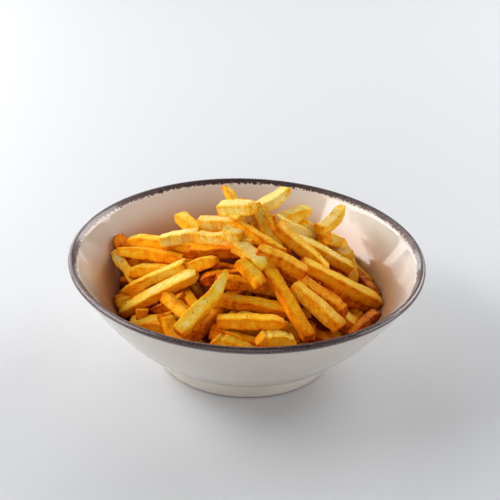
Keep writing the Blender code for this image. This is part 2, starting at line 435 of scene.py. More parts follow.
# %% [markdown]
# ## One fry, five ways to cut it
#
# A fry is a square-cut stick of potato. Frying dries it: the faces sink a little, the long edges stay up
# as ridges, and the ends keep the mark of the knife, or break, or come from the round end of the potato.
# We stretch a cube to the size of a stick, bevel its edges, cut it into short rows of faces so that it
# can bend, and give its ends one of five shapes. Every fry in the bowl is a copy of one of these blanks.

# %% The blank stick
BLANK_LENGTH, BLANK_WIDTH = 60 * MM, 8 * MM
HALF_LENGTH, HALF_WIDTH = BLANK_LENGTH / 2, BLANK_WIDTH / 2
EDGE_ROUNDING = 1.0 * MM
CUTS_ALONG, CUTS_ACROSS = 27, 1


def runs_along(edge, axis):
    """True if an edge is parallel to an axis, 0 for x, 1 for y or 2 for z."""
    run = edge.verts[1].co - edge.verts[0].co
    return abs(run[axis]) > 0.98 * run.length


def add_blank(name):
    """A stick lying along x, with rounded edges and rows of faces to bend it by."""
    bpy.ops.object.select_all(action="DESELECT")
    bpy.ops.mesh.primitive_cube_add(size=BLANK_WIDTH)
    blank = bpy.context.object
    blank.name = blank.data.name = name
    bpy.ops.object.mode_set(mode="EDIT")
    bpy.ops.transform.resize(value=(BLANK_LENGTH / BLANK_WIDTH, 1, 1))
    bpy.ops.mesh.select_all(action="SELECT")
    bpy.ops.mesh.bevel(offset=EDGE_ROUNDING, segments=3, profile=0.5)
    select_edges(blank, lambda edge: runs_along(edge, 1) or runs_along(edge, 2))
    bpy.ops.mesh.subdivide(number_cuts=CUTS_ACROSS)
    select_edges(blank, lambda edge: runs_along(edge, 0) and edge.calc_length() > HALF_LENGTH)
    bpy.ops.mesh.subdivide(number_cuts=CUTS_ALONG)
    return blank


# %% Shaping the ends
def select_end(blank, sign, reach):
    """In edit mode: select the vertices within reach of one end, and return the middle of that end."""
    bpy.ops.mesh.select_mode(type="VERT")
    bpy.ops.mesh.select_all(action="DESELECT")
    mesh = bmesh.from_edit_mesh(blank.data)
    for vertex in mesh.verts:
        vertex.select_set(sign * vertex.co.x > HALF_LENGTH - reach)
    mesh.select_flush_mode()
    bmesh.update_edit_mesh(blank.data)
    return (sign * HALF_LENGTH, 0, 0)


def narrow_end(blank, sign, steps):
    """Scale an end in steps: each is how far it reaches from the tip, and the scale across."""
    for reach, across, upright in steps:
        middle = select_end(blank, sign, reach)
        bpy.ops.transform.resize(value=(1, across, upright), center_override=middle)


def square_end(blank, sign):
    """A clean cut whose face has sunk a little."""
    middle = select_end(blank, sign, 0.1 * MM)
    bpy.ops.transform.resize(value=(1, 0.97, 0.97), center_override=middle)


def slant_end(blank, sign, degrees=28):
    """A cut at an angle."""
    middle = select_end(blank, sign, 3.2 * MM)
    bpy.ops.transform.rotate(value=math.radians(degrees) * sign, orient_axis="Y", center_override=middle)


def round_end(blank, sign):
    """The round end of the potato itself."""
    narrow_end(blank, sign, [(6 * MM, 0.97, 0.96), (4.2 * MM, 0.93, 0.90), (2.6 * MM, 0.88, 0.84),
                             (1.3 * MM, 0.80, 0.76)])


def point_end(blank, sign):
    """A slice off the potato's side: one edge runs straight to the tip, the other curves in to meet it."""
    reaches = np.linspace(17, 0.4, 12)
    widths = 0.12 + 0.88 * (reaches / reaches[0]) ** 0.62
    for reach, before, after in zip(reaches[1:], widths, widths[1:]):
        select_end(blank, sign, reach * MM)
        bpy.ops.transform.resize(value=(1, after / before, (after / before) ** 0.5),
                                 center_override=(sign * HALF_LENGTH, HALF_WIDTH, 0))


def ragged_end(blank, sign):
    """A broken end, crushed out of square by random moves with a seed of their own."""
    slant_end(blank, sign, -16)
    select_end(blank, sign, 5 * MM)
    bpy.ops.transform.vertex_random(offset=0.75 * MM, uniform=0.2, normal=0, seed=4)


END_SHAPES = {
    "square": (square_end, square_end),
    "slant": (slant_end, slant_end),
    "round": (square_end, round_end),
    "point": (square_end, point_end),
    "ragged": (square_end, ragged_end),
}


# %% Finish the blanks
TIP_REACH = 5 * MM
RIDGE_FROM, RIDGE_WIDTH = 0.45, 0.4
FACE_SINK = 0.22 * MM


def mark_blank(mesh):
    """Say how near each vertex is to a tip and to a long edge, which fry darker than the faces."""
    x, y, z = points_of(mesh).T
    write_values(mesh, "tip", np.clip(1 - (HALF_LENGTH - abs(x)) / TIP_REACH, 0, 1) ** 1.5)
    across = np.minimum(abs(y), abs(z)) / HALF_WIDTH
    write_values(mesh, "ridge", np.clip((across - RIDGE_FROM) / RIDGE_WIDTH, 0, 1))


def sink_faces(mesh, depth=FACE_SINK):
    """Pull the middles of the four long faces in, and leave the edges standing."""
    points = points_of(mesh)
    across, upright = points[:, 1] / HALF_WIDTH, points[:, 2] / HALF_WIDTH
    points[:, 1] -= depth * np.sign(across) * (abs(across) > 0.9) * np.clip(1 - upright**2 / 0.3, 0, 1)
    points[:, 2] -= depth * np.sign(upright) * (abs(upright) > 0.9) * np.clip(1 - across**2 / 0.3, 0, 1)
    move_points(mesh, points)


def make_blanks():
    """The fine blanks, for fries that show, and the plain ones, for fries that lie deep in the heap."""
    fine, plain = {}, {}
    for cut, (shape_back, shape_front) in END_SHAPES.items():
        blank = add_blank(cut + "_blank")
        shape_back(blank, -1)
        shape_front(blank, 1)
        bpy.ops.mesh.select_all(action="SELECT")
        bpy.ops.mesh.normals_make_consistent(inside=False)
        bpy.ops.object.mode_set(mode="OBJECT")
        sink_faces(blank.data)
        bpy.ops.object.shade_smooth()
        only(blank)
        bpy.ops.object.duplicate()
        smoother = bpy.context.object
        smoother.modifiers.new("Smooth", "SUBSURF").levels = 1
        apply_modifiers(smoother)
        mark_blank(blank.data)
        mark_blank(smoother.data)
        plain[cut], fine[cut] = blank, smoother
    return fine, plain


fine_blanks, plain_blanks = make_blanks()
print({cut: len(blank.data.polygons) for cut, blank in fine_blanks.items()}, "faces in the fine blanks")

# %% [markdown]
# ## The fries that show
#
# Somebody tipped the fries into the bowl, and each one landed its own way. The ones on top make the
# picture, so each is listed one by one: how it is cut, where its two ends lie, how wide and thick it is,
# how brown it is from 0 to 1, how far it bows, and how it is rolled about its own length. Where only one
# end is shaped, as on a round-ended, a pointed or a ragged fry, it is the second one. Sizes are in
# millimetres and angles in degrees.

# %% The crown of the heap
# cut, start, end, width, thickness, brownness, bow, roll
CROWN = [
    ("round", (-2, 12, 81), (-16, 30, 98), 5.0, 5.5, 0.46, 0.8, 10),
    ("square", (14, 7, 85), (-7, 28, 89), 7.5, 7.0, 0.60, 0.4, 0),
    ("square", (-18, 8, 92), (5, 2, 95), 8.5, 8.0, 0.18, 0.3, 0),
    ("square", (1, 8, 96), (19, -6, 76), 8.0, 7.5, 0.36, 0.5, 20),
    ("slant", (-7, -1, 91), (22, 30, 93), 8.5, 7.5, 0.14, 0.5, 166),
    ("round", (6, 6, 83), (38, 30, 83), 8.0, 7.5, 0.27, 0.8, 0),
    ("ragged", (58, 38, 56), (31, 24, 78), 7.5, 7.2, 0.26, -1.0, 0),
    ("round", (42, 24, 73), (60, 46, 79), 7.0, 7.5, 0.26, -3.5, 0),
    ("round", (57, 44, 54), (70, 14, 38), 8.5, 7.5, 0.28, 1.5, 0),
    ("point", (-8, 0, 88), (20, -21, 79), 6.0, 6.5, 0.54, 0.4, 0),
    ("point", (4, 6, 92), (17, -6, 88), 3.5, 4.0, 0.54, 0.2, 0),
]
print(len(CROWN), "fries in the crown")

# %% The fan on the left
LEFT_FAN = [
    ("round", (-20, 9, 65), (-45, 40, 72), 8.0, 7.5, 0.42, 2.2, 0),
    ("square", (-30, 17, 78), (0, 4, 86), 7.5, 7.2, 0.20, 0.4, 12),
    ("ragged", (4, -12, 84), (-30, 6, 74), 7.5, 7.2, 0.22, 0.6, 0),
    ("square", (-13, -5, 82), (-2, -9, 84), 8.0, 7.5, 0.22, 0.0, 0),
    ("slant", (-25, 0, 70), (-74, 32, 57), 7.5, 7.2, 0.46, 0.8, 6),
    ("square", (-52, 14, 66), (-29, 6, 74), 8.0, 7.5, 0.20, 0.5, -6),
    ("round", (-72, 26, 31), (-84, 41, 55), 9.0, 7.2, 0.74, 0.0, 0),
    ("point", (-31, -5, 63), (-80, 26, 51), 7.5, 7.2, 0.54, 1.6, 8),
    ("slant", (-88, 31, 44), (-63, 3, 43), 6.5, 6.5, 0.34, 0.6, 30),
    ("slant", (-35, -10, 59), (-70, 11, 47), 8.0, 7.0, 0.36, 0.8, 0),
    ("round", (-34, -17, 65), (-78, 3, 34), 7.5, 7.2, 0.32, 1.4, 0),
    ("round", (-55, -9, 48), (-16, -21, 73), 7.0, 7.0, 0.52, 3.2, 0),
    ("round", (-74, -17, 33), (-29, -25, 67), 7.5, 7.2, 0.24, 0.8, 18),
    ("square", (-67, -18, 29), (-35, -33, 54), 7.5, 7.2, 0.58, 0.4, 0),
    ("slant", (10, -18, 80), (-37, 2, 66), 7.5, 7.2, 0.72, 0.5, 0),
]
print(len(LEFT_FAN), "fries in the fan on the left")

# %% The front
FRONT = [
    ("square", (-25, -61, 48), (-45, -27, 53), 7.0, 7.0, 0.54, 0.5, 24),
    ("square", (-41, -15, 53), (-23, -51, 50), 7.0, 7.0, 0.56, 0.3, 0),
    ("slant", (-31, -68, 38), (-47, -40, 47), 8.0, 7.0, 0.58, 0.2, 0),
    ("point", (-37, -65, 49), (-9, -36, 73), 8.2, 7.5, 0.39, 0.3, 28),
    ("square", (-4, -34, 65), (-36, -64, 41), 8.0, 7.5, 0.70, 0.5, 0),
    ("round", (8, -29, 70), (-27, -28, 63), 7.5, 7.2, 0.86, 0.6, 0),
    ("square", (-18, -29, 64), (21, -35, 64), 8.0, 7.5, 0.68, 0.8, 10),
    ("square", (-21, -43, 58), (25, -45, 58), 7.5, 7.2, 0.62, 0.8, 0),
    ("round", (24, -57, 50), (-5, -51, 56), 6.0, 5.5, 0.42, 0.3, 0),
    ("round", (-16, -60, 53), (22, -58, 56), 8.0, 7.5, 0.53, 0.9, 0),
    ("slant", (12, -76, 42), (-16, -65, 49), 8.0, 7.0, 0.53, 0.3, 0),
    ("square", (-19, -59, 50), (20, -71, 43), 8.0, 7.5, 0.68, 0.2, 0),
    ("slant", (8, -70, 50), (29, -66, 49), 8.0, 7.0, 0.40, 0.4, 0),
    ("square", (-8, -56, 48), (41, -52, 47), 7.5, 7.2, 0.50, 0.4, 0),
    ("square", (-23, -18, 68), (19, -28, 67), 7.5, 7.2, 0.90, 0.4, 0),
    ("ragged", (-4, -25, 75), (9, -39, 68), 7.5, 7.0, 0.50, 0.2, 10),
    ("round", (-7, -12, 79), (12, -29, 76), 9.0, 7.5, 0.27, 0.6, 8),
]
print(len(FRONT), "fries in front")

# %% The sweep to the right
RIGHT_SWEEP = [
    ("square", (6, -17, 79), (36, -62, 47), 7.5, 7.2, 0.64, 1.6, 0),
    ("square", (13, 0, 84), (49, -4, 62), 8.5, 7.5, 0.48, 0.9, 0),
    ("square", (4, -22, 79), (34, -26, 69), 8.0, 7.5, 0.60, 0.5, 0),
    ("slant", (18, -22, 75), (58, -37, 50), 7.5, 7.2, 0.72, 0.8, 12),
    ("ragged", (27, -34, 66), (55, -51, 49), 9.0, 7.5, 0.48, 0.6, 0),
    ("square", (37, -28, 61), (64, -37, 42), 7.0, 7.0, 0.50, 0.4, 0),
    ("square", (59, -48, 43), (81, -19, 37), 6.0, 6.0, 0.85, 0.2, 0),
    ("round", (33, -14, 70), (83, -7, 37), 8.5, 7.5, 0.50, 1.0, 10),
    ("square", (15, 8, 86), (60, 47, 46), 7.0, 7.0, 0.06, 1.8, 0),
    ("square", (15, 4, 84), (64, 19, 49), 7.5, 7.2, 0.26, 1.0, 10),
    ("slant", (60, 35, 45), (84, 2, 35), 7.0, 7.0, 0.84, 1.4, 0),
    ("square", (14, -41, 52), (57, -50, 31), 7.5, 7.2, 0.70, 0.5, 0),
    ("square", (45, -17, 56), (76, -6, 34), 7.5, 7.2, 0.60, 0.5, 0),
]
laid = CROWN + LEFT_FAN + FRONT + RIGHT_SWEEP
print(len(laid), "fries laid by hand")

# %% [markdown]
# ## The rest of the heap
#
# The far side, the foot of the heap along the wall and the inside are fries that nobody arranged. We drop
# them at random inside a mound of the heap's shape. The far side leans from the top of the heap down to
# the wall; at the foot they lie along the wall; inside they lie any way at all. From here on all random
# numbers come from one seeded generator, so every run gives the same heap.

# %% The mound
# in millimetres: where the heap's top is, and how high its edge stands round the bowl
PEAK, PEAK_HEIGHT = (2.0, 10.0), 84.0
EDGE_HEIGHT, EDGE_TILT, HIGH_SIDE = 40.0, 8.0, math.radians(115)
EDGE_RADIUS = 88.0
MOUND_CURVE = 1.35


def mound_height(x, y):
    """Height in mm of the heap's surface above a point of the bowl."""
    across, along = x - PEAK[0], y - PEAK[1]
    edge = EDGE_HEIGHT + EDGE_TILT * np.cos(np.arctan2(along, across) - HIGH_SIDE)
    share = np.minimum(1.25, np.hypot(across, along) / EDGE_RADIUS)
    return edge + (PEAK_HEIGHT - edge) * (1 - share**MOUND_CURVE)


front_height = mound_height(0, -EDGE_RADIUS)
print("the mound falls from %.0f mm to %.0f mm in front" % (PEAK_HEIGHT, front_height))


# %% A loose fry
rng = np.random.default_rng(7)
CUT_NAMES, CUT_SHARES = list(END_SHAPES), [0.34, 0.22, 0.22, 0.08, 0.14]
THINNEST, THICKEST = 6.8, 7.8
PALEST, BROWNEST = 0.15, 0.5
MOST_BOW, MOST_ROLL = 1.5, 35
SLOPE_REACH = 12


def loose_fry(x, y, depth, heading, slope_share, length):
    """A fry whose middle lies below the mound's surface, turned to a heading, on the mound's slope."""
    ahead = np.array([math.cos(heading), math.sin(heading)])
    low = mound_height(x - SLOPE_REACH * ahead[0], y - SLOPE_REACH * ahead[1])
    high = mound_height(x + SLOPE_REACH * ahead[0], y + SLOPE_REACH * ahead[1])
    run = np.array([*ahead, slope_share * (high - low) / (2 * SLOPE_REACH)])
    run *= length / 2 / np.linalg.norm(run)
    middle = np.array([x, y, mound_height(x, y) - depth])
    size = rng.uniform(THINNEST, THICKEST, 2)
    cut = CUT_NAMES[rng.choice(5, p=CUT_SHARES)]
    brownness = rng.uniform(PALEST, BROWNEST)
    return (cut, tuple(middle - run), tuple(middle + run), *size, brownness,
            rng.uniform(-MOST_BOW, MOST_BOW), rng.uniform(-MOST_ROLL, MOST_ROLL))


# %% Loose fries
# how far from the peak each tier lies, how many fries it has, and how deep, in millimetres
TIERS = [(22, 5, 0), (40, 8, 0), (60, 10, 0), (76, 10, 2)]
FAR_FROM, FAR_ARC = 30, 128
FAR_OVAL = 0.92


def far_side():
    """Four tiers that lean on each other from the top down to the wall."""
    fries = []
    for reach, count, depth in TIERS:
        for k in range(count):
            bearing = math.radians(FAR_FROM + FAR_ARC * (k + rng.uniform(0.2, 0.8)) / count)
            skew = rng.uniform(0.25, 1.0) * rng.choice([-1, 1])
            x = PEAK[0] + (reach + rng.uniform(-4, 4)) * math.cos(bearing)
            y = PEAK[1] + (reach * FAR_OVAL + rng.uniform(-4, 4)) * math.sin(bearing)
            below, length = depth + rng.uniform(-1, 2), rng.uniform(40, 60)
            fries.append(loose_fry(x, y, below, bearing + skew, 0.95, length))
    return fries


def along_the_wall(count=34):
    """Short and long fries at the foot of the heap, more or less along the wall."""
    fries = []
    for k in range(count):
        bearing = 2 * math.pi * (k + rng.uniform(0, 1)) / count
        radius = rng.uniform(66, 80)
        heading = bearing + math.pi / 2 + rng.uniform(-0.8, 0.8)
        x, y = radius * math.cos(bearing), radius * math.sin(bearing)
        fries.append(loose_fry(x, y, rng.uniform(6, 11), heading, 0.7, rng.uniform(30, 52)))
    return fries


def inside(count=105, widest=80, lowest=24):
    """Fries in the body of the heap, which fill the gaps between the ones on top."""
    fries = []
    while len(fries) < count:
        bearing, radius = rng.uniform(0, 2 * math.pi), widest * math.sqrt(rng.uniform(0, 1))
        x, y = radius * math.cos(bearing), radius * math.sin(bearing)
        depth = rng.uniform(9, 20)
        if mound_height(x, y) - depth > lowest:
            fries.append(loose_fry(x, y, depth, rng.uniform(0, math.pi), 0.75, rng.uniform(38, 62)))
    return fries


far, foot_of_heap, buried = far_side(), along_the_wall(), inside()
print(len(far), "on the far side,", len(foot_of_heap), "along the wall,", len(buried), "inside")

# %% [markdown]
# ## Settling the heap
#
# Placed like this, the fries still pass through each other. A rigid-body simulation would slide the
# listed ones out of place, so we settle the heap with a relaxation of our own. Each fry is a rod with
# round ends, and in every round each pair that overlaps is pushed apart at the points where the two are
# closest. The listed fries are heavy and a weak spring holds them to their places. The loose ones are
# light, sink a little, and stay under the mound's surface and off the bowl's wall. The last rounds have
# no sinking, so that the heap comes to rest. It is not exact: some fries still press a few millimetres
# into each other, but only a few of the ones on top.

# %% Rods
ROD_FIT, END_ROUNDING, SHORTEST_HALF = 0.98, 0.8, 4


class Rods:
    """Middles, directions, half lengths, radii and weights of all fries, in mm."""

    def __init__(self, fries, weights, holds, caps, lows):
        starts, ends = np.array([f[1] for f in fries]), np.array([f[2] for f in fries])
        run = ends - starts
        length = np.linalg.norm(run, axis=1)
        self.middle, self.ahead = (starts + ends) / 2, run / length[:, None]
        self.radius = np.array([(f[3] + f[4]) / 4 * ROD_FIT for f in fries])
        self.half = np.maximum(length / 2 - self.radius * END_ROUNDING, SHORTEST_HALF)
        self.length = length
        self.weight, self.hold = np.array(weights), np.array(holds)
        self.cap, self.low = np.array(caps), np.array(lows)
        self.home = (self.middle.copy(), self.ahead.copy())

    def point(self, which, along):
        return self.middle[which] + self.ahead[which] * along[:, None]

    def turn_and_move(self, which, along, push):
        """Collect pushes at points along the rods, and the turns that they give."""
        np.add.at(self.shift, which, push)
        aside = push - self.ahead[which] * (push * self.ahead[which]).sum(1)[:, None]
        np.add.at(self.swing, which, aside * (3 * along / self.half[which] ** 2)[:, None])
        np.add.at(self.hits, which, 1)

    def straighten(self):
        self.ahead /= np.linalg.norm(self.ahead, axis=1, keepdims=True)


# %% Pushing two rods apart
LEAST_OVERLAP = 0.02


def closest_points(rods, a, b):
    """How far along each of two rods, pair by pair, the two come closest."""
    apart = rods.middle[a] - rods.middle[b]
    cosine = (rods.ahead[a] * rods.ahead[b]).sum(1)
    toward_a, toward_b = (rods.ahead[a] * apart).sum(1), (rods.ahead[b] * apart).sum(1)
    spread = 1 - cosine**2
    along_a = np.where(spread > 1e-6, (cosine * toward_b - toward_a) / np.maximum(spread, 1e-6), 0)
    along_a = np.clip(along_a, -rods.half[a], rods.half[a])
    along_b = np.clip(cosine * along_a + toward_b, -rods.half[b], rods.half[b])
    along_a = np.clip(cosine * along_b - toward_a, -rods.half[a], rods.half[a])
    return along_a, along_b


def contacts(rods, a, b):
    """Pairs of points to test: the closest ones, and each rod's two ends against the other rod."""
    yield (a, b, *closest_points(rods, a, b))
    for sign in (-1, 1):
        for first, second in ((a, b), (b, a)):
            tip = sign * rods.half[first]
            reach = rods.point(first, tip) - rods.middle[second]
            other = (reach * rods.ahead[second]).sum(1)
            yield first, second, tip, np.clip(other, -rods.half[second], rods.half[second])


def push_apart(rods, a, b, along_a, along_b):
    """Push the pairs that overlap apart, the lighter rod further, and return the sum of the overlaps."""
    apart = rods.point(a, along_a) - rods.point(b, along_b)
    distance = np.linalg.norm(apart, axis=1)
    overlap = rods.radius[a] + rods.radius[b] - distance
    touching = overlap > LEAST_OVERLAP
    a, b, along_a, along_b = a[touching], b[touching], along_a[touching], along_b[touching]
    out = apart[touching] / np.maximum(distance[touching], 1e-6)[:, None]
    ease_a = (1 + 3 * (along_a / rods.half[a]) ** 2) / rods.weight[a]
    ease_b = (1 + 3 * (along_b / rods.half[b]) ** 2) / rods.weight[b]
    force = 0.5 * overlap[touching] / (ease_a + ease_b)
    rods.turn_and_move(a, along_a, out * (force / rods.weight[a])[:, None])
    rods.turn_and_move(b, along_b, -out * (force / rods.weight[b])[:, None])
    return overlap[touching].sum()


# %% The bowl and the mound push back
NO_CAP = 1000.0
# the outline that the top of the heap shows to a diner: x and height in millimetres
CREST = np.array([(-95, 40), (-83, 58), (-74, 63), (-52, 68), (-38, 74), (-25, 80), (-15, 88), (0, 90),
                  (15, 90), (30, 86), (45, 80), (58, 72), (66, 62), (75, 48), (84, 34), (95, 20)])
wall_heights = np.linspace(INSIDE_LOW, RIM_HEIGHT, 20)
inner_wall = np.array([(0, 11.5), (24, 11.8)] + [np.array(inner_point(h)) / MM for h in wall_heights])
ABOVE_THE_BOWL = 70
LOWEST_TOP, REAR_RISE = 24, 4
SLOWLY = 0.4


def push_off_bowl(rods, along):
    """Keep points of the rods inside the bowl's wall and above its floor."""
    place = rods.middle + rods.ahead * along[:, None]
    out, height = np.hypot(place[:, 0], place[:, 1]), place[:, 2]
    wall = np.interp(height, inner_wall[1:, 1], inner_wall[1:, 0])
    slope = (np.interp(height + 1, inner_wall[1:, 1], inner_wall[1:, 0])
             - np.interp(height - 1, inner_wall[1:, 1], inner_wall[1:, 0])) / 2
    lean = 1 / np.sqrt(1 + slope**2)
    depth = np.clip(rods.radius - (wall - out) * lean, 0, None) * (height < ABOVE_THE_BOWL)
    inward = -depth * lean / np.maximum(out, 1e-6)
    push = np.stack([place[:, 0] * inward, place[:, 1] * inward, depth * slope * lean], axis=1)
    push[:, 2] += np.clip(inner_wall[0, 1] + rods.radius - height, 0, None)
    return push


def push_under_mound(rods, along):
    """Keep loose rods from standing out of the heap, and behind its crest as a diner sees it."""
    place = rods.middle + rods.ahead * along[:, None]
    top = mound_height(place[:, 0], place[:, 1]) + rods.cap
    crest = np.interp(place[:, 0], *CREST.T) - (place[:, 1] - PEAK[1]) * math.tan(VIEW_ELEVATION)
    top = np.where(rods.cap < NO_CAP, np.minimum(top, crest), NO_CAP)
    rim = RIM_RADIUS / MM
    near_rim = np.sqrt(np.clip(rim**2 - place[:, 0] ** 2, 0, None))
    behind_rim = RIM_HEIGHT / MM - (place[:, 1] + near_rim) * math.tan(VIEW_ELEVATION)
    behind_rim = np.maximum(behind_rim, LOWEST_TOP) + np.clip(place[:, 1] - PEAK[1], 0, None) * REAR_RISE
    top = np.where(rods.low, np.minimum(top, behind_rim), top)
    push = np.zeros_like(place)
    push[:, 2] = -np.clip(place[:, 2] + rods.radius - top, 0, None) * SLOWLY
    return push


# %% Settle
SETTLE_ROUNDS, QUIET_ROUNDS, SINK = 320, 140, 0.12
SPRING, CALM_AFTER = 0.10, 3


def settle(rods):
    """Push, pull back and turn all rods in many small rounds, and return the overlap that is left."""
    first, second = np.triu_indices(len(rods.half), 1)
    for step in range(SETTLE_ROUNDS):
        if step < SETTLE_ROUNDS - QUIET_ROUNDS:
            rods.middle[:, 2] -= SINK * (1 - rods.hold)
        near = np.linalg.norm(rods.middle[first] - rods.middle[second], axis=1)
        near = near < rods.half[first] + rods.half[second] + rods.radius[first] + rods.radius[second]
        rods.shift, rods.swing = np.zeros_like(rods.middle), np.zeros_like(rods.ahead)
        rods.hits = np.zeros(len(rods.half))
        overlap = sum(push_apart(rods, *pair) for pair in contacts(rods, first[near], second[near]))
        calm = 1 / np.maximum(1, rods.hits / CALM_AFTER)[:, None]
        rods.middle += rods.shift * calm
        rods.ahead += rods.swing * calm
        rods.straighten()
        for share in (-1, -0.5, 0, 0.5, 1):
            for push_back in (push_under_mound, push_off_bowl):
                along = share * rods.half
                push = push_back(rods, along) / (1 + 3 * share**2)
                rods.middle += push
                aside = push - rods.ahead * (push * rods.ahead).sum(1)[:, None]
                rods.ahead += aside * (3 * along / rods.half**2)[:, None]
                rods.straighten()
        pull = (rods.hold * SPRING)[:, None]
        rods.middle += (rods.home[0] - rods.middle) * pull
        rods.ahead += (rods.home[1] - rods.ahead) * pull
        rods.straighten()
    return overlap


# fries, weight, how firmly they are held, how far they may stand out of the mound, hidden by the rim or not
groups = [(laid, 8, 1.0, NO_CAP, False), (far, 2, 0.05, 6.0, False),
          (foot_of_heap, 1, 0.0, -2.0, True), (buried, 1, 0.0, -6.0, False)]
fries = [fry for group, *_ in groups for fry in group]
rods = Rods(fries, *([rule[k] for group, *rule in groups for _ in group] for k in range(4)))
left_over = settle(rods)
moved = np.linalg.norm(rods.middle - rods.home[0], axis=1)[:len(laid)]
print("settled; overlap left %.1f mm, hand-laid fries moved %.1f mm on average" % (left_over, moved.mean()))

# %% [markdown]
# ## From blank to fry
#
# Each fry is a copy of a blank, stretched to its length without stretching its ends, a little wider here
# and narrower there, twisted, bowed, and laid along its rod. Its vertices carry what the finish needs:
# how brown it is, how much seasoning fell on it, and its own coordinates along its grain, moved by a
# different amount for each fry, so that no two have the same spots. Skin that faces up is painted a
# little paler, as painted light, and skin deep in the heap is painted darker, as painted shade. The listed
# fries of a cut are then joined into one piece, and so are the loose fries of a place.

# %% Where the seasoning lies thick
# middle and radius in millimetres, strength from 0 to 1
SEASONED = [
    ((3, -2, 97), 9, 1.0), ((53, 37, 77), 9, 0.8), ((24, -6, 85), 9, 0.7), ((56, 12, 60), 10, 0.9),
    ((36, -46, 60), 15, 1.0), ((48, -53, 50), 10, 0.9), ((-5, -21, 82), 8, 1.0), ((-13, -10, 77), 10, 0.8),
    ((-26, 12, 80), 9, 0.6), ((-76, 24, 48), 12, 0.6), ((-31, 1, 78), 8, 0.8), ((-15, 26, 98), 6, 0.6),
    ((-42, 36, 74), 8, 0.5), ((10, -74, 52), 8, 0.6), ((3, -46, 62), 12, 0.4), ((-42, -27, 54), 12, 0.3),
]


def seasoned_at(places):
    """How thick the seasoning lies at places in millimetres, from 0 to 1."""
    thick = np.zeros(len(places))
    for middle, radius, strength in SEASONED:
        away = np.linalg.norm(places - np.array(middle), axis=1)
        thick = np.maximum(thick, strength * np.exp(-(away / radius) ** 2))
    return thick


# %% Shaping a copy
END_ZONE = 6 * MM
SWELL, WAVE_RATES = 0.05, (0.7, 1.6, 2.9)
SKEW, TAPER, TWIST = 0.10, 0.12, 20


def stretched(x, length):
    """Stretch or shorten the middle of a blank, and keep its two ends as they are."""
    zone = min(END_ZONE, 0.3 * length)
    out = abs(x)
    middle = HALF_LENGTH - END_ZONE
    share = np.minimum(out / middle, 1) * (length / 2 - zone)
    return np.sign(x) * (share + np.clip(out - middle, 0, None) * zone / END_ZONE)


def shaped(points, length, width, thickness, bow):
    """The vertices of one fry, lying along x with its middle at the origin."""
    x = stretched(points[:, 0], length)
    share = x / length
    swell = [rng.uniform(-SWELL, SWELL, 3) for _ in range(2)]
    waves = [np.sin(2 * math.pi * (share * rate + rng.uniform(0, 1))) for rate in WAVE_RATES]
    across = points[:, 1] * width / BLANK_WIDTH * (1 + sum(s * w for s, w in zip(swell[0], waves)))
    upright = points[:, 2] * thickness / BLANK_WIDTH * (1 + sum(s * w for s, w in zip(swell[1], waves)))
    across = across * (1 + rng.uniform(-SKEW, SKEW) * points[:, 2] / HALF_WIDTH)
    upright = upright * (1 + rng.uniform(-SKEW, SKEW) * points[:, 1] / HALF_WIDTH)
    taper = 1 + rng.uniform(-TAPER, TAPER) * share
    twist = math.radians(rng.uniform(-TWIST, TWIST)) * share
    turned_across = taper * (across * np.cos(twist) - upright * np.sin(twist))
    turned_upright = taper * (across * np.sin(twist) + upright * np.cos(twist))
    arch = 1 - 4 * share**2
    side_bow, kink = rng.uniform(-1, 1) * MM, rng.uniform(-0.5, 0.5) * MM
    turned_across += side_bow * arch + kink * waves[1] * arch
    turned_upright += bow * arch
    return np.stack([x, turned_across, turned_upright], axis=1)


# %% Laying it along its rod
ROLL_SHAKE = 5
# how much painted shade browns skin with depth, and how much painted light pales it
# as it looks up; depths in millimetres
DEPTH_SHADE, DEPTH_SHADE_START, DEPTH_SHADE_OVER, DEPTH_SHADE_MIDDLE = 0.42, 2, 18, 0.25
PAINTED_TOP_LIGHT, LEVEL_SKIN = 0.18, 0.6


def rod_frame(ahead, roll):
    """Columns: along the fry, to its side, and up, rolled about its length."""
    side = np.cross([0, 0, 1], ahead)
    side /= np.linalg.norm(side)
    up = np.cross(ahead, side)
    roll = math.radians(roll)
    return np.stack([ahead, side * math.cos(roll) + up * math.sin(roll),
                     up * math.cos(roll) - side * math.sin(roll)], axis=1)


def make_fry(blank, number):
    """A copy of a blank, shaped, laid in the heap and marked for its finish."""
    _, _, _, width, thickness, brownness, bow, roll = fries[number]
    fry = blank.copy()
    fry.data = blank.data.copy()
    bpy.context.scene.collection.objects.link(fry)
    points = points_of(fry.data)
    grain = points + rng.uniform(-1, 1, 3)
    length = rods.length[number] * MM
    points = shaped(points, length, width * MM, thickness * MM, bow * MM)
    turned = rod_frame(rods.ahead[number], roll + rng.uniform(-ROLL_SHAKE, ROLL_SHAKE))
    move_points(fry.data, points @ turned.T + rods.middle[number] * MM)
    place = points_of(fry.data) / MM
    depth = mound_height(place[:, 0], place[:, 1]) - place[:, 2]
    # painted shade: skin gets darker the deeper it lies in the heap
    painted_shade = DEPTH_SHADE * np.clip((depth + DEPTH_SHADE_START) / DEPTH_SHADE_OVER, 0, 1) - DEPTH_SHADE * DEPTH_SHADE_MIDDLE
    # painted light: skin gets paler the more it faces up
    painted_light = PAINTED_TOP_LIGHT * (normals_of(fry.data)[:, 2] - LEVEL_SKIN)
    # the fry's own brownness, with the painted shade added and the painted light taken off
    write_values(fry.data, "brownness", brownness + painted_shade - painted_light)
    write_values(fry.data, "seasoned", seasoned_at(place))
    layer = fry.data.attributes.new("grain", "FLOAT_VECTOR", "POINT")
    layer.data.foreach_set("vector", grain.ravel().astype(np.float32))
    return fry


def join(parts, name):
    """Join meshes into one piece with a name."""
    only(*parts)
    bpy.ops.object.join()
    piece = bpy.context.object
    piece.name = piece.data.name = name
    return piece


# %% Make the pieces
PIECE_NAMES = {"square": "fries_square_cut", "slant": "fries_slant_cut", "round": "fries_round_ended",
               "point": "fries_pointed", "ragged": "fries_broken"}


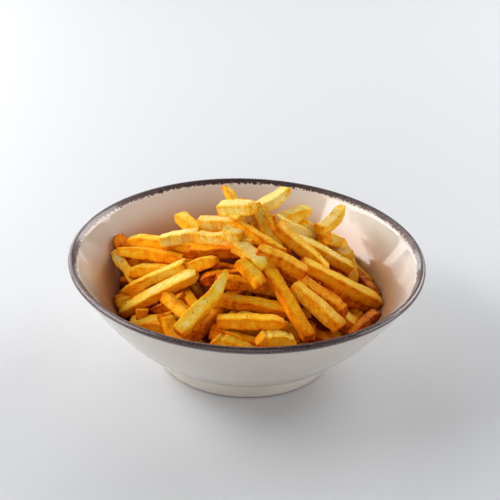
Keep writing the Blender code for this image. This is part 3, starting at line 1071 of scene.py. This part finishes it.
def make_fries(blanks, numbers):
    return [make_fry(blanks[fries[number][0]], number) for number in numbers]


fry_pieces = []
for cut, name in PIECE_NAMES.items():
    numbers = [number for number, fry in enumerate(laid) if fry[0] == cut]
    fry_pieces.append(join(make_fries(fine_blanks, numbers), name))
first = len(laid)
for name, group, blanks in [("fries_far_side", far, fine_blanks),
                            ("fries_along_wall", foot_of_heap, fine_blanks),
                            ("fries_inside", buried, plain_blanks)]:
    fry_pieces.append(join(make_fries(blanks, range(first, first + len(group))), name))
    first += len(group)
for blank in list(fine_blanks.values()) + list(plain_blanks.values()):
    bpy.data.objects.remove(blank)
print(first, "fries in", len(fry_pieces), "pieces")

# %% Uneven skins
LUMPS = [(9 * MM, 0.8 * MM), (3 * MM, 0.45 * MM)]


def add_lumps(piece, size, height):
    """A Displace modifier with soft noise of a size."""
    cloud = bpy.data.textures.new(piece.name + "_lumps", "CLOUDS")
    cloud.noise_scale = size
    cloud.noise_depth = 2
    lumps = piece.modifiers.new("Lumps", "DISPLACE")
    lumps.texture = cloud
    lumps.texture_coords = "GLOBAL"
    lumps.mid_level = 0.5
    lumps.strength = height


for piece in fry_pieces:
    for size, height in LUMPS:
        add_lumps(piece, size, height)
    apply_modifiers(piece)
    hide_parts("fries_heap")
    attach(piece, "root")
print({piece.name: 2 * len(piece.data.polygons) for piece in fry_pieces}, "triangles, about")

# %% [markdown]
# ## The dark inside
#
# Between the fries one sees into the heap, where it is dark and orange-brown. Real fries go on to the
# bottom. A rough dark mound takes their place below the first layers, so that no light comes up from the
# bowl. Its dark orange-brown colour is painted shade: the colour of fries deep in the heap's shade.

# %% The core
# in millimetres: depth below the mound, gap to the wall and at what height, lowest top, gap to the floor
CORE_DEPTH = 17.0
CORE_CLEARANCE, CLEARED_AT = 4, 30
CORE_LOWEST_TOP, CORE_OVER_FLOOR = 20, 1


def make_core():
    """A ball whose upper half follows the mound and whose lower half follows the bowl."""
    bpy.ops.object.select_all(action="DESELECT")
    bpy.ops.mesh.primitive_uv_sphere_add(segments=64, ring_count=32, radius=1)
    core = bpy.context.object
    points = points_of(core.data)
    out, turn = np.hypot(points[:, 0], points[:, 1]), np.arctan2(points[:, 1], points[:, 0])
    wall = np.interp(CLEARED_AT, inner_wall[1:, 1], inner_wall[1:, 0]) - CORE_CLEARANCE
    radius = np.minimum(1, out) * wall
    x, y = radius * np.cos(turn), radius * np.sin(turn)
    top = np.maximum(mound_height(x, y) - CORE_DEPTH, CORE_LOWEST_TOP)
    under = np.interp(radius, inner_wall[:, 0], inner_wall[:, 1]) + CORE_OVER_FLOOR
    upper = points[:, 2] > -1e-6
    height = np.where(upper, top, np.minimum(under, top))
    move_points(core.data, np.stack([x, y, height], axis=1) * MM)
    core.name = core.data.name = "fries_core"
    bpy.ops.object.shade_smooth()
    return core


core = make_core()
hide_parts("fries_heap")
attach(core, "root")
print("the core rises to", round(float(points_of(core.data)[:, 2].max() / MM), 1), "mm")

# %% [markdown]
# ## The fried skin
#
# Potato goes from pale cream over gold to brown as it fries. One colour ramp holds that scale, and one
# number per point says how far along it the skin is: the fry's own brownness, with painted shade deep in
# the heap and painted light where the skin faces up, more at its tips and along its ridges, and more or
# less in soft blotches and fine streaks that follow the grain. Paprika dust lies over it where seasoning
# fell, and there are small scorched spots. Light goes a little way into potato, so the shader scatters it
# under the skin. The skin is dry and blistered, so it hardly shines.

# %% The fries' finish
SKIN_COLOURS = [
    (0.00, srgb(255, 228, 136)),
    (0.18, srgb(255, 208, 70)),
    (0.38, srgb(255, 182, 24)),
    (0.58, srgb(244, 144, 10)),
    (0.78, srgb(204, 92, 3)),
    (1.00, srgb(118, 38, 1)),
]
PAPRIKA, SCORCH = srgb(214, 88, 6), srgb(112, 48, 8)
# painted shade: the colours of fries deep in the heap's shade, for the core
SHADE_BROWN, SHADE_ORANGE = srgb(116, 40, 4), srgb(178, 82, 9)


def fried_finish(name):
    """Golden skin that browns by the numbers its vertices carry, which also hold painted shade and painted
    light, with dust, scorched spots and blisters.
    """
    fried = Finish(name)
    grain = fried.node("Attribute", {"attribute_name": "grain"}, output="Vector")
    along = fried.node("Mapping", None, {"Vector": grain, "Scale": (0.3, 1, 1)})
    # this number holds painted shade and painted light as well as the fry's own brownness
    brownness = fried.attribute("brownness")
    blotches = fried.noise(grain, 7 * MM, detail=4, roughness=0.65)
    streaks = fried.noise(along, 1.3 * MM, detail=3, roughness=0.65)
    amount = brownness + (blotches - 0.5) * 0.90 + (streaks - 0.5) * 0.38
    amount = amount + fried.attribute("tip") * 0.22 + fried.attribute("ridge") * 0.18 - 0.08
    skin = fried.node("ValToRGB", {"stops": SKIN_COLOURS}, {"Fac": amount})
    seasoned = fried.attribute("seasoned")
    dusty = fried.step(fried.noise(grain, 11 * MM, detail=2) + seasoned * 0.5, 0.46, 0.70)
    dust = fried.step(fried.noise(grain, 1.1 * MM, detail=2, roughness=0.7) + seasoned * 0.06, 0.50, 0.66)
    skin = fried.mix(dusty * dust * 0.45, skin, PAPRIKA)
    scorch = fried.step(fried.noise(grain, 2.6 * MM, detail=2), 0.68, 0.76)
    skin = fried.mix(scorch * 0.55, skin, SCORCH)
    blisters = fried.noise(grain, 1.9 * MM, detail=3, roughness=0.65)
    crumbs = fried.noise(grain, 0.7 * MM, detail=2)
    rough = fried.noise(grain, 3 * MM) * 0.22 + 0.30 + dust * dusty * 0.15
    fried.set(Base_Color=skin, Roughness=rough, IOR=1.45, Specular_IOR_Level=0.05,
              Subsurface_Weight=0.22, Subsurface_Scale=1.6 * MM, Subsurface_Radius=(1.0, 0.55, 0.18),
              Normal=fried.bump(blisters + crumbs * 0.4, 0.5 * MM, 0.6))
    return fried.material


def core_finish():
    """Dull orange-brown painted shade, blotched."""
    dark = Finish("dark_inside")
    blotches = dark.noise(dark.position(), 6 * MM, detail=3)
    dark.set(Base_Color=dark.mix(blotches, SHADE_BROWN, SHADE_ORANGE), Roughness=0.8,
             Normal=dark.bump(dark.noise(dark.position(), 3 * MM), 1 * MM))
    return dark.material


skin = fried_finish("fried_potato")
for piece in fry_pieces:
    piece.data.materials.clear()
    piece.data.materials.append(skin)
core.data.materials.append(core_finish())
print("the fried skin has", len(skin.node_tree.nodes), "nodes")

# %% [markdown]
# ## The seasoning
#
# Grains of paprika and flecks of pepper stick to the upper skins. Each grain is a coarse ball of twenty
# faces, squashed, and pressed half its depth into the skin. We choose places on faces that look up, a
# face as often as its area is large, and oftener where the seasoning lies thick.

# %% Where grains can lie
def upper_faces(pieces, least_up=0.15):
    """Middles, normals and areas of the faces that look up, over all the pieces, sorted by place.

    Operators may list the same faces in another order on the next run. Sorted, they give the same draws.
    """
    rows = []
    for piece in pieces:
        mesh = piece.data
        for name, size in (("center", 3), ("normal", 3), ("area", 1)):
            flat = np.empty(len(mesh.polygons) * size)
            mesh.polygons.foreach_get(name, flat)
            rows.append(flat.reshape(-1, size))
    middles, normals, areas = (np.concatenate(rows[k::3]) for k in range(3))
    up = normals[:, 2] > least_up
    middles, normals, areas = middles[up], normals[up], areas[up, 0]
    in_order = np.lexsort(middles.T)
    return middles[in_order], normals[in_order], areas[in_order]


places = upper_faces([piece for piece in fry_pieces if piece.name != "fries_inside"])
print(len(places[0]), "faces look up")

# %% Grains
GRAIN_NARROWING, GRAIN_SPREAD, GRAIN_SHIFT = 0.75, 0.28, 0.2
ALL_ROUND = 6.28
PLAIN_SHARE, SEASONED_SHARE = 0.4, 1.2


def scatter(name, count, size, flatness, places):
    """Copies of one squashed ball on skin that looks up."""
    bpy.ops.object.select_all(action="DESELECT")
    bpy.ops.mesh.primitive_ico_sphere_add(subdivisions=1, radius=1)
    grain = bpy.context.object
    shape = points_of(grain.data) * (1, GRAIN_NARROWING, flatness)
    corners = np.array([list(face.vertices) for face in grain.data.polygons])
    bpy.data.objects.remove(grain)
    middles, normals, areas = places
    share = areas * (PLAIN_SHARE + SEASONED_SHARE * seasoned_at(middles / MM))
    chosen = rng.choice(len(areas), count, p=share / share.sum())
    points, faces = [], []
    for k, face in enumerate(chosen):
        spin = Matrix.Rotation(rng.uniform(0, ALL_ROUND), 3, "Z")
        turn = Vector(normals[face]).to_track_quat("Z", "Y").to_matrix() @ spin
        scale = size * rng.lognormal(0, GRAIN_SPREAD)
        place = middles[face] + rng.uniform(-GRAIN_SHIFT, GRAIN_SHIFT, 3) * MM
        points.append(scale * shape @ np.array(turn).T + place)
        faces.append(corners + k * len(shape))
    mesh = bpy.data.meshes.new(name)
    mesh.from_pydata(np.concatenate(points).tolist(), [], np.concatenate(faces).tolist())
    piece = bpy.data.objects.new(name, mesh)
    bpy.context.scene.collection.objects.link(piece)
    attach(piece, "root")
    return piece


def grain_finish(name, dark, light):
    """Dull, from dark to light by soft noise."""
    grains = Finish(name)
    colour = grains.mix(grains.noise(grains.position(), 4 * MM), dark, light)
    grains.set(Base_Color=colour, Roughness=0.7, Specular_IOR_Level=0.1)
    return grains.material


paprika = scatter("paprika_grains", 2000, 0.24 * MM, 0.6, places)
paprika.data.materials.append(grain_finish("paprika", srgb(176, 60, 4), srgb(228, 120, 16)))
pepper = scatter("pepper_flecks", 520, 0.36 * MM, 0.45, places)
pepper.data.materials.append(grain_finish("pepper", srgb(70, 38, 8), srgb(132, 78, 14)))
print({piece.name: len(piece.data.polygons) for piece in (paprika, pepper)}, "triangles")

# %% [markdown]
# ## The table and the light
#
# The bowl stands on a seamless white table, as in a small studio. A long softbox on the left and a window
# on the back right are the main lights. They brighten the left of the bowl and the right of its inside,
# where the softbox also shows as a streak in the glaze, and lay a soft shadow to the front. Four weaker
# lamps, three of them low, light the table and the sides, one in front opens the shadows, and a faint
# white room does the rest.

# %% The table
TABLE_SIZE = 8.0
WHITE_PAPER, PAPER_ROUGHNESS = (0.68, 0.69, 0.71), 0.55


def add_table():
    """A plain white floor, which is not part of the object."""
    bpy.ops.object.select_all(action="DESELECT")
    bpy.ops.mesh.primitive_plane_add(size=TABLE_SIZE, location=(0, 0, 0))
    table = bpy.context.object
    table.name = "table"
    paper = Finish("white_table")
    paper.set(Base_Color=WHITE_PAPER, Roughness=PAPER_ROUGHNESS)
    table.data.materials.append(paper.material)


add_table()
print("the table is", TABLE_SIZE, "m across")


# %% A lamp and its place
def add_lamp(name, place, target, width, height, watts, roll=0.0):
    """A flat soft lamp that faces a point, rolled about its line of sight by degrees."""
    data = bpy.data.lights.new(name, "AREA")
    data.shape = "RECTANGLE"
    data.size, data.size_y = width, height
    data.energy = watts
    lamp = bpy.data.objects.new(name, data)
    lamp.location = place
    facing = (Vector(target) - Vector(place)).to_track_quat("-Z", "Y").to_matrix()
    lamp.rotation_euler = (facing @ Matrix.Rotation(math.radians(roll), 3, "Z")).to_euler()
    bpy.context.scene.collection.objects.link(lamp)


def around_bowl(bearing, elevation, distance):
    """A place seen from the bowl: degrees round from straight back to the right, degrees up, and metres."""
    turn, rise = math.radians(bearing), math.radians(elevation)
    flat = distance * math.cos(rise)
    return (flat * math.sin(turn), flat * math.cos(turn), distance * math.sin(rise))


# %% The lamps and the room
HEAP_MIDDLE = (0, 0, 0.05)
# name, bearing, elevation, distance in metres, width, height, watts, roll
LAMPS = [
    ("left_softbox", -80, 37.5, 1.1, 1.20, 0.33, 10.2, 20),
    ("left_low", -98, 14, 1.4, 0.70, 0.35, 5.5, 0),
    ("back_window", -20, 36, 1.4, 0.90, 0.60, 3.2, 0),
    ("back_low", -35, 14, 1.4, 0.80, 0.30, 3.0, 0),
    ("right_window", 44, 32, 1.4, 1.00, 0.60, 10.5, 0),
    ("right_low", 95, 14, 1.4, 0.80, 0.40, 6.2, 0),
    ("front_fill", 180, 20, 1.6, 1.20, 0.40, 4.5, 0),
]
ROOM_WHITE, ROOM_STRENGTH = (0.96, 0.98, 1.0), 0.10


def add_room():
    """A faint even light from all round."""
    world = bpy.data.worlds.new("white_room")
    world.use_nodes = True
    background = world.node_tree.nodes["Background"]
    background.inputs["Color"].default_value = (*ROOM_WHITE, 1)
    background.inputs["Strength"].default_value = ROOM_STRENGTH
    bpy.context.scene.world = world


for name, bearing, elevation, distance, width, height, watts, roll in LAMPS:
    add_lamp(name, around_bowl(bearing, elevation, distance), HEAP_MIDDLE, width, height, watts, roll)
add_room()
bpy.context.scene.view_settings.view_transform = "Standard"
print("%d lamps, %.1f W in all" % (len(LAMPS), sum(lamp[6] for lamp in LAMPS)))
